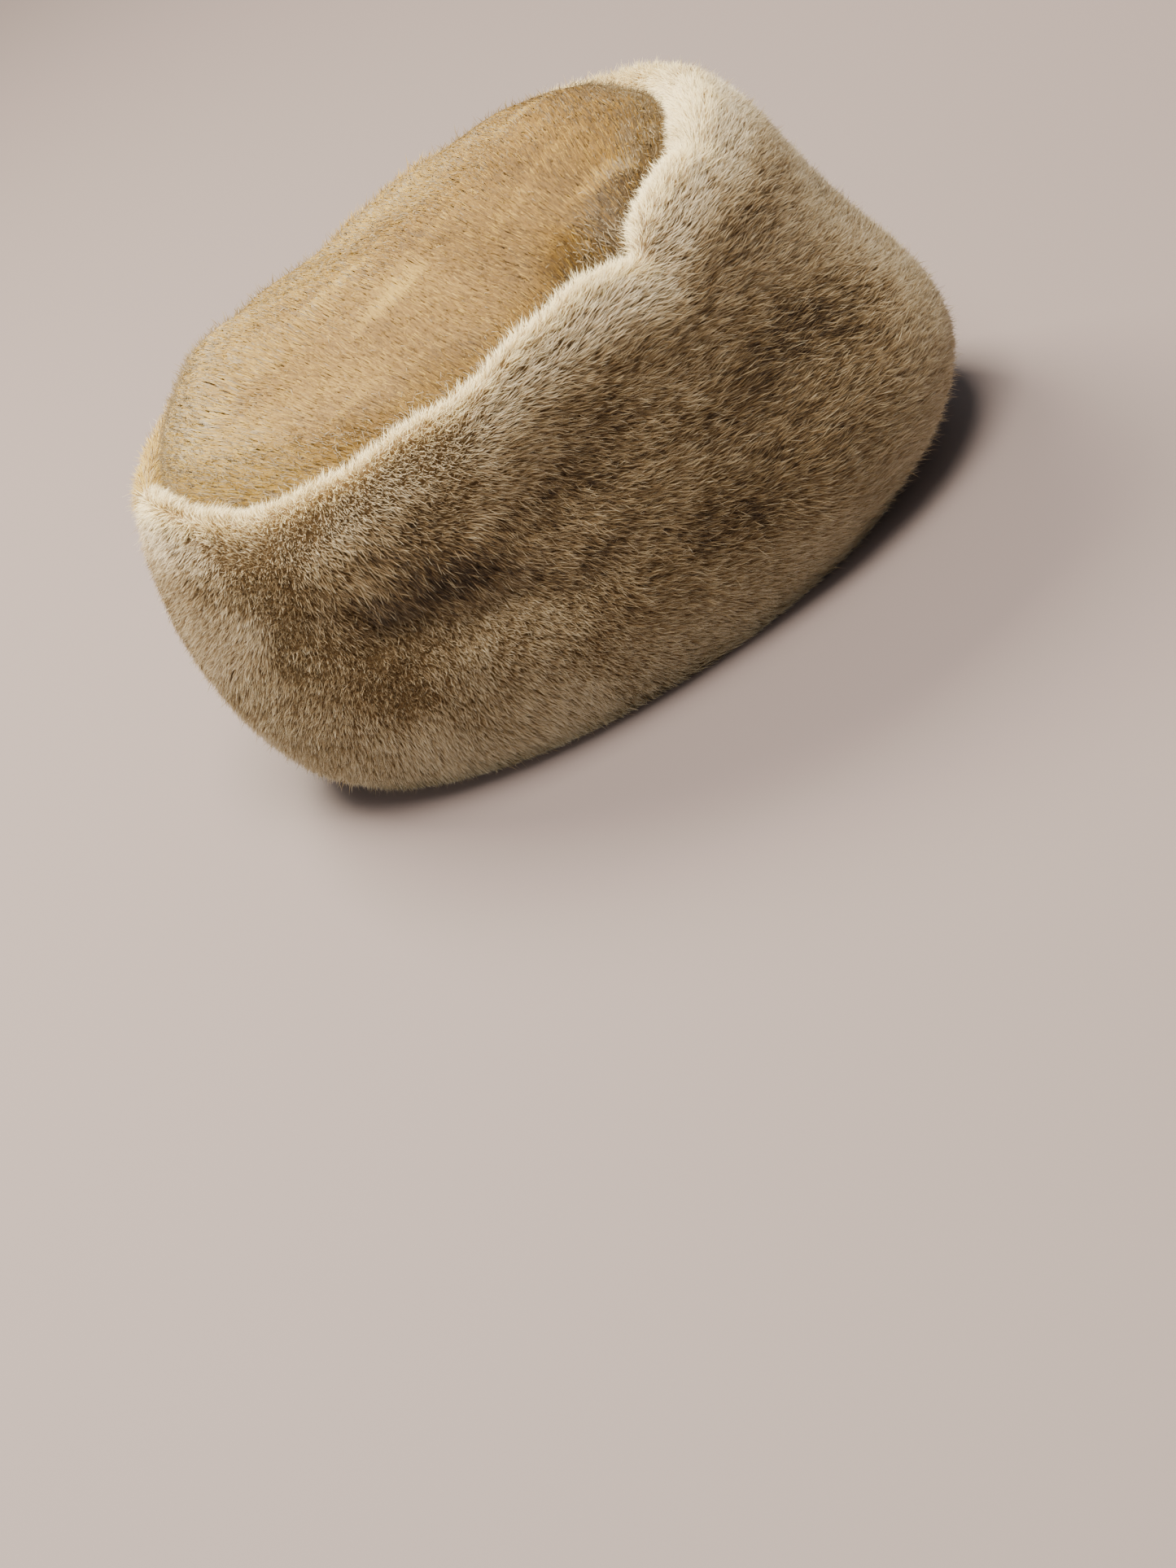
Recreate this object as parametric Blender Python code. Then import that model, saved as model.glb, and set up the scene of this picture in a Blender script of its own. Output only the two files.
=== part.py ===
"""A fur-fabric pillbox hat, standing on its hem: a deep side band and an oval crown top.

Blender 4.5, metres, +Z up. The wearer faces -Y and the wearer's right is -X.
The origin is on the surface that the hem rests on, under the middle of the hat.
Each wall is as thick as the fabric really is: its knitted backing with the short pile on it.
"""

import math

import bmesh
import bpy
from mathutils import Vector

MM = 0.001

# Driving dimensions
HEM_LENGTH = 210 * MM
HEM_WIDTH = 168 * MM
SEAM_LENGTH = 194 * MM
SEAM_WIDTH = 198 * MM
SEAM_SET_BACK = 10.8 * MM
FRONT_HEIGHT = 134 * MM
BACK_HEIGHT = 109.5 * MM
CROWN_PUFF = 15 * MM
PUFF_SHARPNESS = 10.0
PUFF_EVENS_OUT_AT = 0.8
CROWN_DOME = 2.0 * MM
BACKING = 1.5 * MM
PILE = 6.5 * MM
WALL = BACKING + PILE
SEAM_GAP = 0.3 * MM

SEGMENTS = 96
RINGS_PER_SECTION = 2
CROWN_RINGS = 9
RINGS_TO_EDGE = 1.6
UNDERSIDE_RINGS = 4
GATHERS_FADE_AT = 0.80
RIPPLE_COUNT = 3
RIPPLE_DEPTH = 1.0 * MM

# Angles run from the front (0) over the wearer's right (90) to the back (180), in degrees.
# Each row is one section of the side band's outer face, from the hem to the crown's seam.
# share: how far up the wall. lift: mm above that. front, side, back: fullness in mm.
OUTER_SECTIONS = (
    # share, lift, front, side, back
    (0.00, 0.0, 0.0, 0.0, 0.0),
    (0.02, 0.0, 1.4, 0.4, 0.6),
    (0.09, 0.0, 19.5, 5.2, 8.6),
    (0.20, 0.0, 33.0, 9.6, 14.4),
    (0.35, 0.0, 35.0, 12.2, 19.0),
    (0.52, 0.0, 29.5, 11.8, 20.4),
    (0.70, 0.0, 24.4, 10.8, 18.6),
    (0.85, 0.0, 22.2, 10.0, 15.4),
    (0.93, 0.0, 19.8, 9.3, 12.6),
    (0.98, 0.0, 17.0, 8.0, 10.6),
    (1.00, 2.4, 13.0, 6.2, 8.4),
    (1.00, 4.0, 7.4, 3.8, 5.4),
    (1.00, 2.8, 3.0, 1.6, 2.2),
    (1.00, 0.0, 0.0, 0.0, 0.0),
)

# The same for its inner face, a wall's thickness inside the outer one, from the seam down.
INNER_SECTIONS = (
    # share, lift, front, side, back
    (1.00, -8.0, 0.0, 0.0, 0.0),
    (0.925, 0.0, 7.4, 1.5, 4.8),
    (0.84, 0.0, 9.7, 2.0, 7.1),
    (0.69, 0.0, 13.5, 2.7, 10.3),
    (0.515, 0.0, 19.7, 3.7, 12.6),
    (0.35, 0.0, 24.7, 4.2, 10.8),
    (0.22, 0.0, 23.1, 1.7, 6.7),
    (0.13, 0.0, 15.6, -1.9, 1.9),
    (0.065, 0.0, -2.4, -6.6, -5.6),
    (0.00, 0.0, -8.0, -8.0, -8.0),
)

# Gathers of the seam: angle, and how far the seam stands above its plane there, in mm.
GATHERS = (
    (8, 3.0), (16, 3.5), (24, 3.5), (30, 2.0), (35, -1.0), (42, 3.0), (51, 3.0), (56, 0.5),
    (60.5, -7.5), (66, -3.0), (73, 1.0), (80, 1.0), (88, 1.5), (97, -2.0), (110, 0.0),
    (122, -2.5), (145, -3.5), (157, -0.5), (170, 2.5), (190, -0.5), (206, -2.5), (231, -1.5),
    (250, -3.5), (262, -5.5), (275, -2.5), (289, -0.5), (304, -3.5), (319, -0.5), (336, -1.0),
    (350, 1.0),
)

# Puffs of the crown: angle, and how far the crown stands above the seam's plane inside the
# seam there, in mm.
PUFFS = (
    (0, 16.5), (60, 9.5), (90, 8.5), (130, 9.5), (165, 13.5), (195, 21.0), (215, 20.5),
    (240, 13.5), (265, 8.5), (295, 12.0), (325, 16.5), (345, 18.5),
)

# Folds and hollows of the side band, pressed inwards, and bulges beside them, pressed outwards.
# angle and share: the middle. along: degrees, up: share of the height, to where it fades.
# climb: share of the height that it rises for each degree. depth: mm, less than 0 for a bulge.
FOLDS = (
    # angle, share, along, up, climb, depth
    (117, 0.55, 22, 0.07, 0.0048, 5.6),
    (122, 0.72, 20, 0.09, 0.0040, -2.2),
    (96, 0.67, 14, 0.10, 0.0000, 3.0),
    (50, 0.55, 20, 0.16, -0.0030, 2.4),
    (160, 0.55, 12, 0.14, 0.0000, 2.0),
    (205, 0.50, 20, 0.18, 0.0030, 1.8),
    (262, 0.55, 30, 0.14, 0.0025, 2.8),
    (318, 0.45, 18, 0.16, -0.0020, 1.6),
)


def smooth(share):
    """Goes from 0 to 1 with no slope at either end."""
    share = min(max(share, 0.0), 1.0)
    return share * share * (3 - 2 * share)


def rise_at(table, angle):
    """Height from a table of angles and mm, eased between its rows."""
    angle = angle % 360
    first, last = table[0], table[-1]
    rows = [(last[0] - 360, last[1]), *table, (first[0] + 360, first[1])]
    for (low, low_rise), (high, high_rise) in zip(rows, rows[1:]):
        if low <= angle <= high:
            ease = smooth((angle - low) / (high - low))
            return (low_rise + (high_rise - low_rise) * ease) * MM
    return 0.0


def gather(angle):
    """Height of the seam above its plane at an angle."""
    return rise_at(GATHERS, angle)


def oval(angle, length, width, set_back=0.0):
    """Point of an oval in plan, with the front at -Y."""
    turn = math.radians(angle)
    return Vector((-math.sin(turn) * width / 2, -math.cos(turn) * length / 2 + set_back, 0))


def outward(angle, length, width):
    """Outward direction of an oval in plan."""
    turn = math.radians(angle)
    return Vector((-math.sin(turn) * length, -math.cos(turn) * width, 0)).normalized()


def seam_height(y, angle, gathered=1.0):
    """Height of the seam's sloping plane at y, with a share of the gathers."""
    front_y = SEAM_SET_BACK - SEAM_LENGTH / 2
    slope = (BACK_HEIGHT - FRONT_HEIGHT) / SEAM_LENGTH
    return FRONT_HEIGHT + slope * (y - front_y) + gather(angle) * gathered


def fold_depth(angle, share):
    """How far the folds press the side band inwards, less than 0 where it bulges."""
    total = 0.0
    for middle, height, along, up, climb, depth in FOLDS:
        aside = (angle - middle + 180) % 360 - 180
        above = share - height - climb * aside
        total += depth * MM * math.exp(-((aside / along) ** 2) - (above / up) ** 2)
    return total


def section_at(sections, place):
    """Columns of a table of sections at a place between rows, on a curve through the rows."""
    row = min(int(place), len(sections) - 2)
    part = place - row
    before, low, high, after = (
        sections[min(max(row + step, 0), len(sections) - 1)] for step in (-1, 0, 1, 2)
    )
    curved = 2 <= row <= len(sections) - 4

    def between(p, a, b, q):
        if not curved:
            return a + (b - a) * part
        bend = 2 * p - 5 * a + 4 * b - q
        turn = 3 * a - p - 3 * b + q
        return a + 0.5 * part * (b - p + part * (bend + part * turn))

    return [between(*columns) for columns in zip(before, low, high, after)]


def fullness(angle, front, side, back):
    """Fullness at an angle, from the fullness at the front, side and back."""
    facing = math.cos(math.radians(angle))
    end = front if facing > 0 else back
    return (side + (end - side) * abs(facing) ** 1.5) * MM


def band_point(section, angle):
    """Point of the side band's surface on a section at an angle."""
    share, lift, front, side, back = section
    hem = oval(angle, HEM_LENGTH, HEM_WIDTH)
    seam = oval(angle, SEAM_LENGTH, SEAM_WIDTH, SEAM_SET_BACK)
    outside = outward(angle, HEM_LENGTH, HEM_WIDTH)
    point = hem.lerp(seam, share)
    point += outside * (fullness(angle, front, side, back) - fold_depth(angle, share))
    point.z = share * seam_height(hem.lerp(seam, share).y, angle) + lift * MM
    return point


def crown_point(reach, angle):
    """Point of the crown top's outer surface. reach is 0 at its middle and 1 at the seam."""
    middle = Vector((0, SEAM_SET_BACK, 0))
    seam = oval(angle, SEAM_LENGTH, SEAM_WIDTH, SEAM_SET_BACK)
    height_at_seam = seam_height(seam.y, angle)
    outside = outward(angle, HEM_LENGTH, HEM_WIDTH)
    point = middle.lerp(seam - outside * (SEAM_GAP + fold_depth(angle, 1.0)), reach)
    gathered = smooth((reach - GATHERS_FADE_AT) / (1 - GATHERS_FADE_AT))
    ripple = math.cos(RIPPLE_COUNT * math.pi * (point.y - point.x) / SEAM_LENGTH)
    inside = (1 - reach * reach) ** 2
    puff = CROWN_PUFF + (rise_at(PUFFS, angle) - CROWN_PUFF) * smooth(reach / PUFF_EVENS_OUT_AT)
    plane = seam_height(middle.y, angle, 0.0)
    point.z = plane + (height_at_seam - gather(angle) - plane) * reach + gather(angle) * gathered
    point.z += puff * (1 - reach ** PUFF_SHARPNESS)
    point.z += CROWN_DOME * inside + RIPPLE_DEPTH * ripple * inside
    return point


def ring_of(mesh, point_at):
    """A ring of new vertices round the hat. point_at(angle) gives their places."""
    angles = [360 * step / SEGMENTS for step in range(SEGMENTS)]
    return [mesh.verts.new(point_at(angle)) for angle in angles]


def bridge(mesh, low, high):
    """Four-sided faces between two rings, facing out of the hat where high is above low."""
    for step in range(SEGMENTS):
        after = (step + 1) % SEGMENTS
        mesh.faces.new((low[after], low[step], high[step], high[after]))


def cap(mesh, ring, middle, upwards):
    """Triangles from a ring to a point in its middle."""
    for step in range(SEGMENTS):
        edge = (ring[(step + 1) % SEGMENTS], ring[step])
        mesh.faces.new((*edge, middle) if upwards else (*reversed(edge), middle))


def fur_material(name, colour):
    """Matt, slightly sheened fur fabric."""
    material = bpy.data.materials.new(name)
    material.use_nodes = True
    shader = material.node_tree.nodes["Principled BSDF"]
    shader.inputs["Base Color"].default_value = (*colour, 1)
    shader.inputs["Roughness"].default_value = 0.85
    shader.inputs["Metallic"].default_value = 0.0
    shader.inputs["Sheen Weight"].default_value = 0.4
    return material


def panel(name, mesh, collection, material):
    """An object made of the finished mesh of one panel of fur fabric."""
    data = bpy.data.meshes.new(name)
    mesh.to_mesh(data)
    mesh.free()
    data.shade_smooth()
    data.materials.append(material)
    body = bpy.data.objects.new(name, data)
    collection.objects.link(body)
    return body


def side_band(collection, material):
    """Deep band round the head, rolled over at its top into the seam."""
    mesh = bmesh.new()
    count = (len(OUTER_SECTIONS) - 1) * RINGS_PER_SECTION
    outer = [section_at(OUTER_SECTIONS, ring / RINGS_PER_SECTION) for ring in range(count + 1)]
    rings = []
    for section in (*outer, *INNER_SECTIONS):
        rings.append(ring_of(mesh, lambda angle: band_point(section, angle)))
    for low, high in zip(rings, rings[1:] + rings[:1]):
        bridge(mesh, low, high)
    return panel("side_band", mesh, collection, material)


def crown_top(collection, material):
    """Oval top panel, gathered at the seam and puffed up above it like a pillow."""
    mesh = bmesh.new()
    under = Vector((0, 0, -WALL))
    top = []
    for ring in range(CROWN_RINGS):
        reach = 1 - (ring / CROWN_RINGS) ** RINGS_TO_EDGE
        top.append(ring_of(mesh, lambda angle: crown_point(reach, angle)))
    bottom = []
    for ring in range(UNDERSIDE_RINGS):
        reach = 1 - (ring / UNDERSIDE_RINGS) ** 1.25
        bottom.append(ring_of(mesh, lambda angle: crown_point(reach, angle) + under))
    rings = bottom[::-1] + top
    for low, high in zip(rings, rings[1:]):
        bridge(mesh, low, high)
    cap(mesh, top[-1], mesh.verts.new(crown_point(0.0, 0.0)), True)
    cap(mesh, bottom[-1], mesh.verts.new(crown_point(0.0, 0.0) + under), False)
    return panel("crown_top", mesh, collection, material)


def centre_on_origin(panels):
    """Moves the panels so that the hat's outer outline is centred on the origin in plan."""
    points = [vertex.co for body in panels for vertex in body.data.vertices]
    for axis in (0, 1):
        low = min(point[axis] for point in points)
        high = max(point[axis] for point in points)
        for point in points:
            point[axis] -= (low + high) / 2


def main():
    for leftover in list(bpy.data.objects):
        bpy.data.objects.remove(leftover)
    collection = bpy.data.collections.new("pillbox_hat")
    bpy.context.scene.collection.children.link(collection)
    band_fur = fur_material("band_fur", (0.47, 0.36, 0.22))
    crown_fur = fur_material("crown_fur", (0.56, 0.42, 0.23))
    centre_on_origin([side_band(collection, band_fur), crown_top(collection, crown_fur)])


main()
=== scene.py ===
# %% [markdown]
# # A fur-fabric pillbox hat
#
# The real hat is cut from a short-pile fur fabric: fine hairs, less than 10 mm long, knitted
# into a thin backing. Two pieces of it show: a deep band round the head, and an oval top sewn
# inside its rolled upper edge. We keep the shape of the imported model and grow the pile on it
# hair by hair, because the eye reads fur by its hairs, their gaps and its soft outline.

# %% Load the frame
import math

import bpy
import numpy as np
from mathutils import Matrix, Vector
from mathutils.bvhtree import BVHTree
from mathutils.kdtree import KDTree


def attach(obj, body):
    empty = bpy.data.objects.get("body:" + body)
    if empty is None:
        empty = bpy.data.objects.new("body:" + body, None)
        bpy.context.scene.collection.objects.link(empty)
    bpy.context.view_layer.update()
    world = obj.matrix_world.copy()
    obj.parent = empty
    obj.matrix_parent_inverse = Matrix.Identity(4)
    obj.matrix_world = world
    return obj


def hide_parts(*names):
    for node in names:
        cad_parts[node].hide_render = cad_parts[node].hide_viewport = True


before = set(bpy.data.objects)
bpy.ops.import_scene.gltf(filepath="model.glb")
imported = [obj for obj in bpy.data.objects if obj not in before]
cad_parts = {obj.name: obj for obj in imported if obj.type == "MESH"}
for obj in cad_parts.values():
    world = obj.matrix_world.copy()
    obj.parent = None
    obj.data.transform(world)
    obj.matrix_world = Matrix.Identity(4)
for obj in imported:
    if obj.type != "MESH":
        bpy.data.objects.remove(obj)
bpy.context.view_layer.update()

MM = 0.001

# %% [markdown]
# ## Two small helpers
#
# Colours are easiest to pick as the hex values of a colour picker, but Blender mixes light
# in linear values, so one function converts them. The other adds a shader node, sets its
# options and sockets and links its inputs, so that a material reads as a short list.

# %% Colour and node helpers
def linear(hex_colour):
    """Linear RGBA of an sRGB hex colour."""
    shares = [int(hex_colour[place:place + 2], 16) / 255 for place in (1, 3, 5)]
    return (*[s / 12.92 if s <= 0.04045 else ((s + 0.055) / 1.055) ** 2.4 for s in shares], 1.0)


def add_node(material, kind, links=(), values=(), stops=(), **settings):
    """Adds a node: links are (input, other node, its output), values (input, value)."""
    node = material.node_tree.nodes.new(kind)
    for number, (place, hex_colour) in enumerate(stops):
        elements = node.color_ramp.elements
        stop = elements[number] if number < len(elements) else elements.new(place)
        stop.position, stop.color = place, linear(hex_colour)
    for name, setting in settings.items():
        setattr(node, name, setting)
    for socket, value in values:
        node.inputs[socket].default_value = value
    for socket, other, output in links:
        material.node_tree.links.new(other.outputs[output], node.inputs[socket])
    return node


def new_material(name):
    """An empty node material and its output node."""
    material = bpy.data.materials.new(name)
    material.use_nodes = True
    material.node_tree.nodes.clear()
    return material, material.node_tree.nodes.new("ShaderNodeOutputMaterial")


# %% [markdown]
# ## The camera
#
# The hat is seen from the wearer's right, a little from above and a little from behind. A
# long lens keeps both ovals of the hat nearly as flat as each other. The camera is also
# rolled, so that the hat leans back in the frame as it does on a tilted head, although it
# stands level on its hem. Three directions make the camera's rotation.

# %% Place the camera
AZIMUTH, ELEVATION, ROLL = 264.0, 24.24, -30.62
AIM_HEIGHT = 70 * MM
ASIDE, ABOVE, AWAY = -17.7 * MM, 118.0 * MM, 1288.6 * MM
LENS_MM = 93.4


def camera_axes(azimuth, elevation, roll):
    """Right, up and forward directions of a camera, in degrees round and above the hat."""
    round_by, above_by, turn = (math.radians(angle) for angle in (azimuth, elevation, roll))
    back = Vector((math.sin(round_by) * math.cos(above_by),
                   -math.cos(round_by) * math.cos(above_by), math.sin(above_by)))
    right = (-back).cross(Vector((0, 0, 1))).normalized()
    up = right.cross(-back)
    return (right * math.cos(turn) + up * math.sin(turn),
            up * math.cos(turn) - right * math.sin(turn), -back)


right, up, forward = camera_axes(AZIMUTH, ELEVATION, ROLL)
place = Vector((0, 0, AIM_HEIGHT)) - right * ASIDE - up * ABOVE - forward * AWAY
camera_data = bpy.data.cameras.new("camera")
camera_data.sensor_width = 36.0
camera_data.lens = LENS_MM
camera_data.clip_start, camera_data.clip_end = 0.05, 30.0
camera = bpy.data.objects.new("camera", camera_data)
axes = Matrix((right, up, -forward)).transposed()
camera.matrix_world = Matrix.Translation(place) @ axes.to_4x4()
bpy.context.scene.collection.objects.link(camera)
bpy.context.scene.camera = camera
print("camera", round(place.length, 3), "m from the hat's middle")

# %% [markdown]
# ## Floor and light
#
# The photo's light comes from beyond the hat. So the window stands high on the wearer's left,
# rakes over the crown and shines through the tips of the pile along the ridge, which makes
# them glow. A second lamp hangs almost straight above and gives the near side its soft light,
# and a weak wide one stands low behind the hat. Big lamps give soft shadow edges. The pale
# room fills the rest.

# %% Make the floor, the room's light and three lamps
FLOOR_SIZE = 12.0


def floor_paint():
    """Matt emulsion paint on a smooth board: pale, slightly pink and hardly glossy."""
    material, output = new_material("matt_floor_paint")
    paint = add_node(material, "ShaderNodeBsdfPrincipled", values=(
        ("Base Color", linear("#746967")), ("Roughness", 0.7), ("IOR", 1.45)))
    material.node_tree.links.new(paint.outputs[0], output.inputs[0])
    return material


bpy.ops.mesh.primitive_plane_add(size=FLOOR_SIZE)
floor = bpy.context.object
floor.name = "floor"
floor.data.materials.append(floor_paint())

world = bpy.data.worlds.new("pale_room")
world.use_nodes = True
world.node_tree.nodes["Background"].inputs["Color"].default_value = linear("#dad8da")
world.node_tree.nodes["Background"].inputs["Strength"].default_value = 0.48
bpy.context.scene.world = world

LAMPS = (
    # name, direction towards it, distance in m, size in m, power in W, colour
    ("window", (0.62, 0.24, 0.75), 1.6, 0.8, 80.0, "#fff3de"),
    ("ceiling", (-0.30, 0.08, 0.95), 1.8, 0.9, 100.0, "#fff5e6"),
    ("fill", (-0.45, 0.80, 0.22), 2.0, 1.8, 24.0, "#fff6ea"),
)


def add_lamp(name, direction, distance, size, power, colour):
    """A square area light that faces the middle of the hat."""
    light = bpy.data.lights.new(name, "AREA")
    light.size = size
    light.energy = power
    light.color = linear(colour)[:3]
    lamp = bpy.data.objects.new(name, light)
    lamp.location = Vector(direction).normalized() * distance + Vector((0, 0, AIM_HEIGHT))
    lamp.rotation_euler = Vector(direction).to_track_quat("Z", "Y").to_euler()
    bpy.context.scene.collection.objects.link(lamp)
    return lamp


for row in LAMPS:
    add_lamp(*row)
print("lamps:", [row[0] for row in LAMPS])

# %% [markdown]
# ## Reading the two skins
#
# Each CAD node is a closed wall of fabric. The pile grows only on its outer face, so we need
# that face alone, with smooth normals that tell each hair which way is out. Points that
# share a place are merged first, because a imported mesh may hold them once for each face.

# %% Read the outer faces
BAND_MIDDLE = Vector((0.0, 6 * MM, 0.0))
ROLL_HEIGHT = 85 * MM
# Least part of a face's unit normal that points out of the wall, up on the roll, up on the crown
WALL_OUT, ROLL_UP, CROWN_UP = 0.2, 0.15, 0.04


def unit(vectors):
    """Vectors scaled to length 1."""
    return vectors / np.maximum(np.linalg.norm(vectors, axis=-1, keepdims=True), 1e-12)


def mesh_arrays(node):
    """Merged points, triangles and triangle normals of a CAD node."""
    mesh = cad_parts[node].data
    mesh.calc_loop_triangles()
    points = np.empty(len(mesh.vertices) * 3)
    mesh.vertices.foreach_get("co", points)
    corners = np.empty(len(mesh.loop_triangles) * 3, np.int32)
    mesh.loop_triangles.foreach_get("vertices", corners)
    merged, place_of = np.unique(points.reshape(-1, 3).round(6), axis=0, return_inverse=True)
    triangles = place_of.reshape(-1)[corners].reshape(-1, 3)
    a, b, c = (merged[triangles[:, corner]] for corner in range(3))
    return merged, triangles, np.cross(b - a, c - a)


def outward_in_plan(points):
    """Unit vectors in plan from the middle of the hat."""
    away = points - np.array(BAND_MIDDLE)
    away[:, 2] = 0
    return unit(away)


def is_band_outside(centres, normals):
    """True for the wall's outer faces and for the roll at its top, down to the seam."""
    wall = (normals * outward_in_plan(centres)).sum(1) > WALL_OUT
    roll = (centres[:, 2] > ROLL_HEIGHT) & (normals[:, 2] > ROLL_UP)
    return wall | roll


def is_crown_outside(centres, normals):
    """True for the faces that look up, also for the steep ones round the puffed edge."""
    return normals[:, 2] > CROWN_UP


def read_skin(node, is_outside):
    """The outer face of a node: points, triangles, areas and smooth normals."""
    points, triangles, crosses = mesh_arrays(node)
    keep = is_outside(points[triangles].mean(1), unit(crosses))
    skin = {"points": points, "triangles": triangles[keep], "all": triangles}
    skin["areas"] = np.linalg.norm(crosses[keep], axis=1) / 2
    normals = np.zeros_like(points)
    for corner in range(3):
        np.add.at(normals, triangles[keep][:, corner], crosses[keep])
    skin["normals"] = unit(normals)
    print(node, "outside:", round(skin["areas"].sum() / MM ** 2), "square mm")
    return skin


band_skin = read_skin("side_band", is_band_outside)
crown_skin = read_skin("crown_top", is_crown_outside)

# %% [markdown]
# ## Where a point lies on the hat
#
# The nap, the way that the hairs lean, changes over the hat. To say where, each point gets
# an angle round the hat, 0 at the front and 90 on the wearer's right, and a share of the
# height, 0 at the hem and 1 on the ridge. The ridge's height is read from the band itself.

# %% Angle and share of the height
RIDGE_READ_DEGREES = 3.5
CREST_FROM, CREST_TO = 0.75, 0.05


def angle_of(points):
    """Degrees round the hat: 0 at the front (-Y), 90 on the wearer's right (-X)."""
    away = points - np.array(BAND_MIDDLE)
    return np.degrees(np.arctan2(-away[:, 0], -away[:, 1])) % 360


def degrees_from(angles, middle):
    """How far angles lie from a middle one, from -180 to 180."""
    return (angles - middle + 180) % 360 - 180


def ridge_heights(skin):
    """Height of the ridge for each degree round the hat."""
    on_skin = skin["points"][np.unique(skin["triangles"])]
    angles = angle_of(on_skin)
    heights = []
    for degree in range(360):
        aside = np.abs(degrees_from(angles, degree))
        heights.append(on_skin[aside < RIDGE_READ_DEGREES, 2].max())
    return np.array(heights)


ridge_height = ridge_heights(band_skin)


def ridge_at(points):
    """Height of the ridge at the angle of each point."""
    return ridge_height[angle_of(points).astype(int) % 360]


def share_of(points):
    """Share of the height up to the ridge."""
    return points[:, 2] / ridge_at(points)


def eased(values, low, high):
    """0 below low, 1 above high, and a smooth step between."""
    part = np.clip((values - low) / (high - low), 0, 1)
    return part * part * (3 - 2 * part)


def crest_of(points, normals):
    """0 on the wall, rising to 1 where the roll faces up and inwards."""
    return eased((normals * outward_in_plan(points)).sum(1), CREST_FROM, CREST_TO)


print("ridge from", round(ridge_height.min() / MM), "to", round(ridge_height.max() / MM), "mm high")

# %% [markdown]
# ## The nap
#
# On the band the hairs lean round the hat towards the front. Handling has brushed them into
# patches, so each row of the table notes how they lie at one place, and a place between rows
# takes a blend of the nearest ones. The directions were measured on the strokes of the pile
# in the photo. It hides the wearer's left, so there we mirror the right. On the crown the
# hairs lie across the hat. A sum of a few random waves gives smooth patches of any size.

# %% Smooth random patches
def waves(points, size, seed, count=9):
    """Smooth patches of about this size in metres, mostly from -1 to 1, at each point."""
    random = np.random.default_rng(seed)
    turns = unit(random.normal(size=(count, 3))) * random.uniform(0.6, 1.4, (count, 1))
    phases = random.uniform(0, 2 * math.pi, count)
    return np.sin(points @ turns.T * (math.pi / size) + phases).sum(1) / math.sqrt(count)


def mottled(points, layers):
    """The sum of some layers of patches, each an amount, a size in mm and a seed."""
    return sum(amount * waves(points, size * MM, seed) for amount, size, seed in layers)


# %% The nap of the band
BAND_NAP = (
    # angle, share, down: degrees below the way to the front, lean: 0 upright to 1 flat
    (0, 0.30, 70, 0.50),
    (0, 0.75, 50, 0.50),
    (12, 0.94, 20, 0.40),
    (10, 0.60, -40, 0.35),
    (15, 0.35, -18, 0.42),
    (30, 0.95, -11, 0.77),
    (31, 0.75, 0, 0.73),
    (28, 0.50, 13, 0.71),
    (32, 0.24, -9, 0.77),
    (42, 0.88, -6, 0.83),
    (41, 0.65, 6, 0.79),
    (42, 0.38, 2, 0.84),
    (43, 0.12, -32, 0.81),
    (53, 0.95, -12, 0.78),
    (54, 0.81, -8, 0.84),
    (54, 0.58, 3, 0.84),
    (54, 0.30, -1, 0.76),
    (54, 0.09, -11, 0.81),
    (66, 0.94, -8, 0.68),
    (66, 0.81, -8, 0.84),
    (66, 0.60, 0, 0.84),
    (65, 0.30, 9, 0.69),
    (66, 0.06, -18, 0.73),
    (78, 0.95, -22, 0.84),
    (79, 0.85, -13, 0.84),
    (78, 0.60, 8, 0.75),
    (78, 0.30, 1, 0.66),
    (80, 0.07, 0, 0.75),
    (90, 0.93, -22, 0.80),
    (88, 0.81, -1, 0.82),
    (90, 0.60, 8, 0.67),
    (90, 0.30, 4, 0.66),
    (88, 0.09, -9, 0.69),
    (102, 0.94, -23, 0.64),
    (102, 0.80, 8, 0.71),
    (102, 0.60, 31, 0.65),
    (101, 0.32, 23, 0.45),
    (102, 0.06, -2, 0.51),
    (114, 0.94, -14, 0.47),
    (115, 0.81, 16, 0.64),
    (113, 0.62, 56, 0.76),
    (114, 0.32, 30, 0.37),
    (114, 0.10, 37, 0.60),
    (124, 0.92, 0, 0.42),
    (127, 0.81, 32, 0.71),
    (126, 0.65, 54, 0.71),
    (125, 0.45, 35, 0.24),
    (126, 0.24, 31, 0.42),
    (126, 0.03, 47, 0.65),
    (136, 0.95, -11, 0.27),
    (135, 0.80, 25, 0.70),
    (138, 0.66, 25, 0.61),
    (137, 0.42, -16, 0.24),
    (138, 0.18, 47, 0.50),
    (150, 0.92, -41, 0.32),
    (148, 0.80, 3, 0.40),
    (148, 0.60, 5, 0.47),
    (150, 0.38, 28, 0.28),
    (150, 0.20, 36, 0.39),
    (161, 0.85, 57, 0.26),
    (160, 0.66, 118, 0.41),
    (161, 0.45, 56, 0.41),
    (160, 0.25, 41, 0.37),
    (172, 0.80, 140, 0.45),
    (171, 0.60, 147, 0.73),
    (180, 0.30, 95, 0.50),
    (180, 0.90, 100, 0.45),
)
ANGLE_PER_SHARE = 90.0
ROW_SOFTNESS = 0.003
CREST_DOWN, CREST_LEAN = -42.0, 0.55
BAND_TURN_LAYERS = ((9, 20, 11), (7, 8, 12))
BAND_LEAN_LAYERS = ((0.10, 16, 13),)
LEAST_LEAN, MOST_LEAN = 0.10, 0.95


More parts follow.
